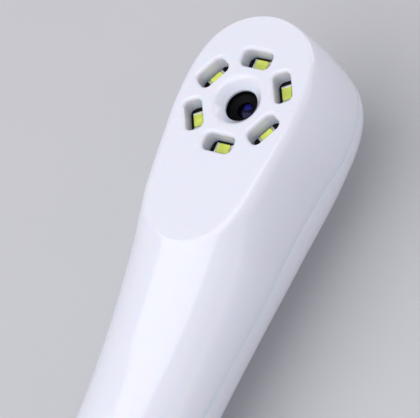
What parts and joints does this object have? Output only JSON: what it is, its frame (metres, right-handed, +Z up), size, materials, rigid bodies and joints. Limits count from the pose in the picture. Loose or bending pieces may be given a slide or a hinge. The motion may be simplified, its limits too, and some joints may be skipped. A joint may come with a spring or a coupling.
{
  "type": "intraoral camera",
  "caption": "White dental camera wand with a flat lens face ringed by LEDs, a slim neck, two push buttons and a round lead recess in its tail.",
  "frame": {"origin": "centre of the bounding box on the surface the wand lies on", "axes": "+X from the tail to the tip, +Y to the left seen from the tail, +Z up, the way the lens looks"},
  "size_m": [0.198, 0.027, 0.0235],
  "materials": {
    "white_shell": "smooth injection-moulded white ABS with a soft gloss",
    "grey_collar": "fine-textured light grey plastic",
    "black_seal": "black silicone",
    "socket_steel": "drawn stainless steel with a satin surface",
    "black_plastic": "glass-filled black plastic",
    "gold_contact": "gold-plated contacts",
    "led_board_black": "black solder mask",
    "led_white": "white LED reflector plastic",
    "led_phosphor": "yellow phosphor in silicone",
    "solder": "bright tinned solder",
    "grey_foam": "closed-cell foam",
    "barrel_black": "black anodised aluminium",
    "coated_glass": "polished glass with a blue anti-reflection coating",
    "clear_glass": "polished optical glass",
    "filter_glass": "cyan infrared-cut glass",
    "sensor_glass": "glass-covered silicon",
    "green_board": "green solder mask on glass epoxy",
    "ivory_plastic": "ivory connector nylon",
    "amber_film": "amber polyimide film",
    "red_wire": "silicone wire insulation",
    "chip_black": "moulded epoxy",
    "can_steel": "stamped stainless steel",
    "ceramic_tan": "ceramic chip capacitors",
    "button_silver": "silver-painted plastic under clear lacquer",
    "bezel_chrome": "polished chrome plate",
    "screw_steel": "zinc-plated steel",
    "insert_brass": "knurled brass"
  },
  "bodies": {
    "wand": {"front_shell": "white_shell", "back_shell": "white_shell", "tail_collar": "grey_collar", "socket_seal": "black_seal", "usb_shell": "socket_steel", "usb_tongue": "black_plastic", "usb_contacts": "gold_contact", "led_board": "led_board_black", "led_bases": "led_white", "led_phosphors": "led_phosphor", "led_terminals": "solder", "lens_gasket": "grey_foam", "lens_barrel": "barrel_black", "front_lens": "coated_glass", "aperture_stop": "barrel_black", "rear_lens": "clear_glass", "lens_retainer": "barrel_black", "lens_holder": "black_plastic", "ir_filter": "filter_glass", "image_sensor": "sensor_glass", "sensor_board": "green_board", "sensor_connector": "ivory_plastic", "flex_cable": "amber_film", "led_wires": "red_wire", "wire_plug": "ivory_plastic", "board_connector": "ivory_plastic", "main_board": "green_board", "video_processor": "chip_black", "memory_chip": "chip_black", "crystal": "can_steel", "regulator": "chip_black", "passives": "ceramic_tan", "capture_bezel": "bezel_chrome", "capture_dome": "can_steel", "capture_switch": "chip_black", "capture_switch_frame": "can_steel", "light_bezel": "bezel_chrome", "light_dome": "can_steel", "light_switch": "chip_black", "light_switch_frame": "can_steel", "shell_screws": "screw_steel", "thread_inserts": "insert_brass", "screw_covers": "grey_collar"},
    "capture": {"capture_button": "button_silver", "capture_plunger": "black_plastic"},
    "light": {"light_button": "button_silver", "light_plunger": "black_plastic"}
  },
  "joints": [
    {"name": "capture_press", "type": "slide", "parent": "wand", "child": "capture", "axis": [0, 0, -1], "range_m": [0, 0.0005], "stiffness_N_per_m": 1500, "springref_m": -0.0005},
    {"name": "light_press", "type": "slide", "parent": "wand", "child": "light", "axis": [0, 0, -1], "range_m": [0, 0.0005], "stiffness_N_per_m": 1500, "springref_m": -0.0005}
  ]
}
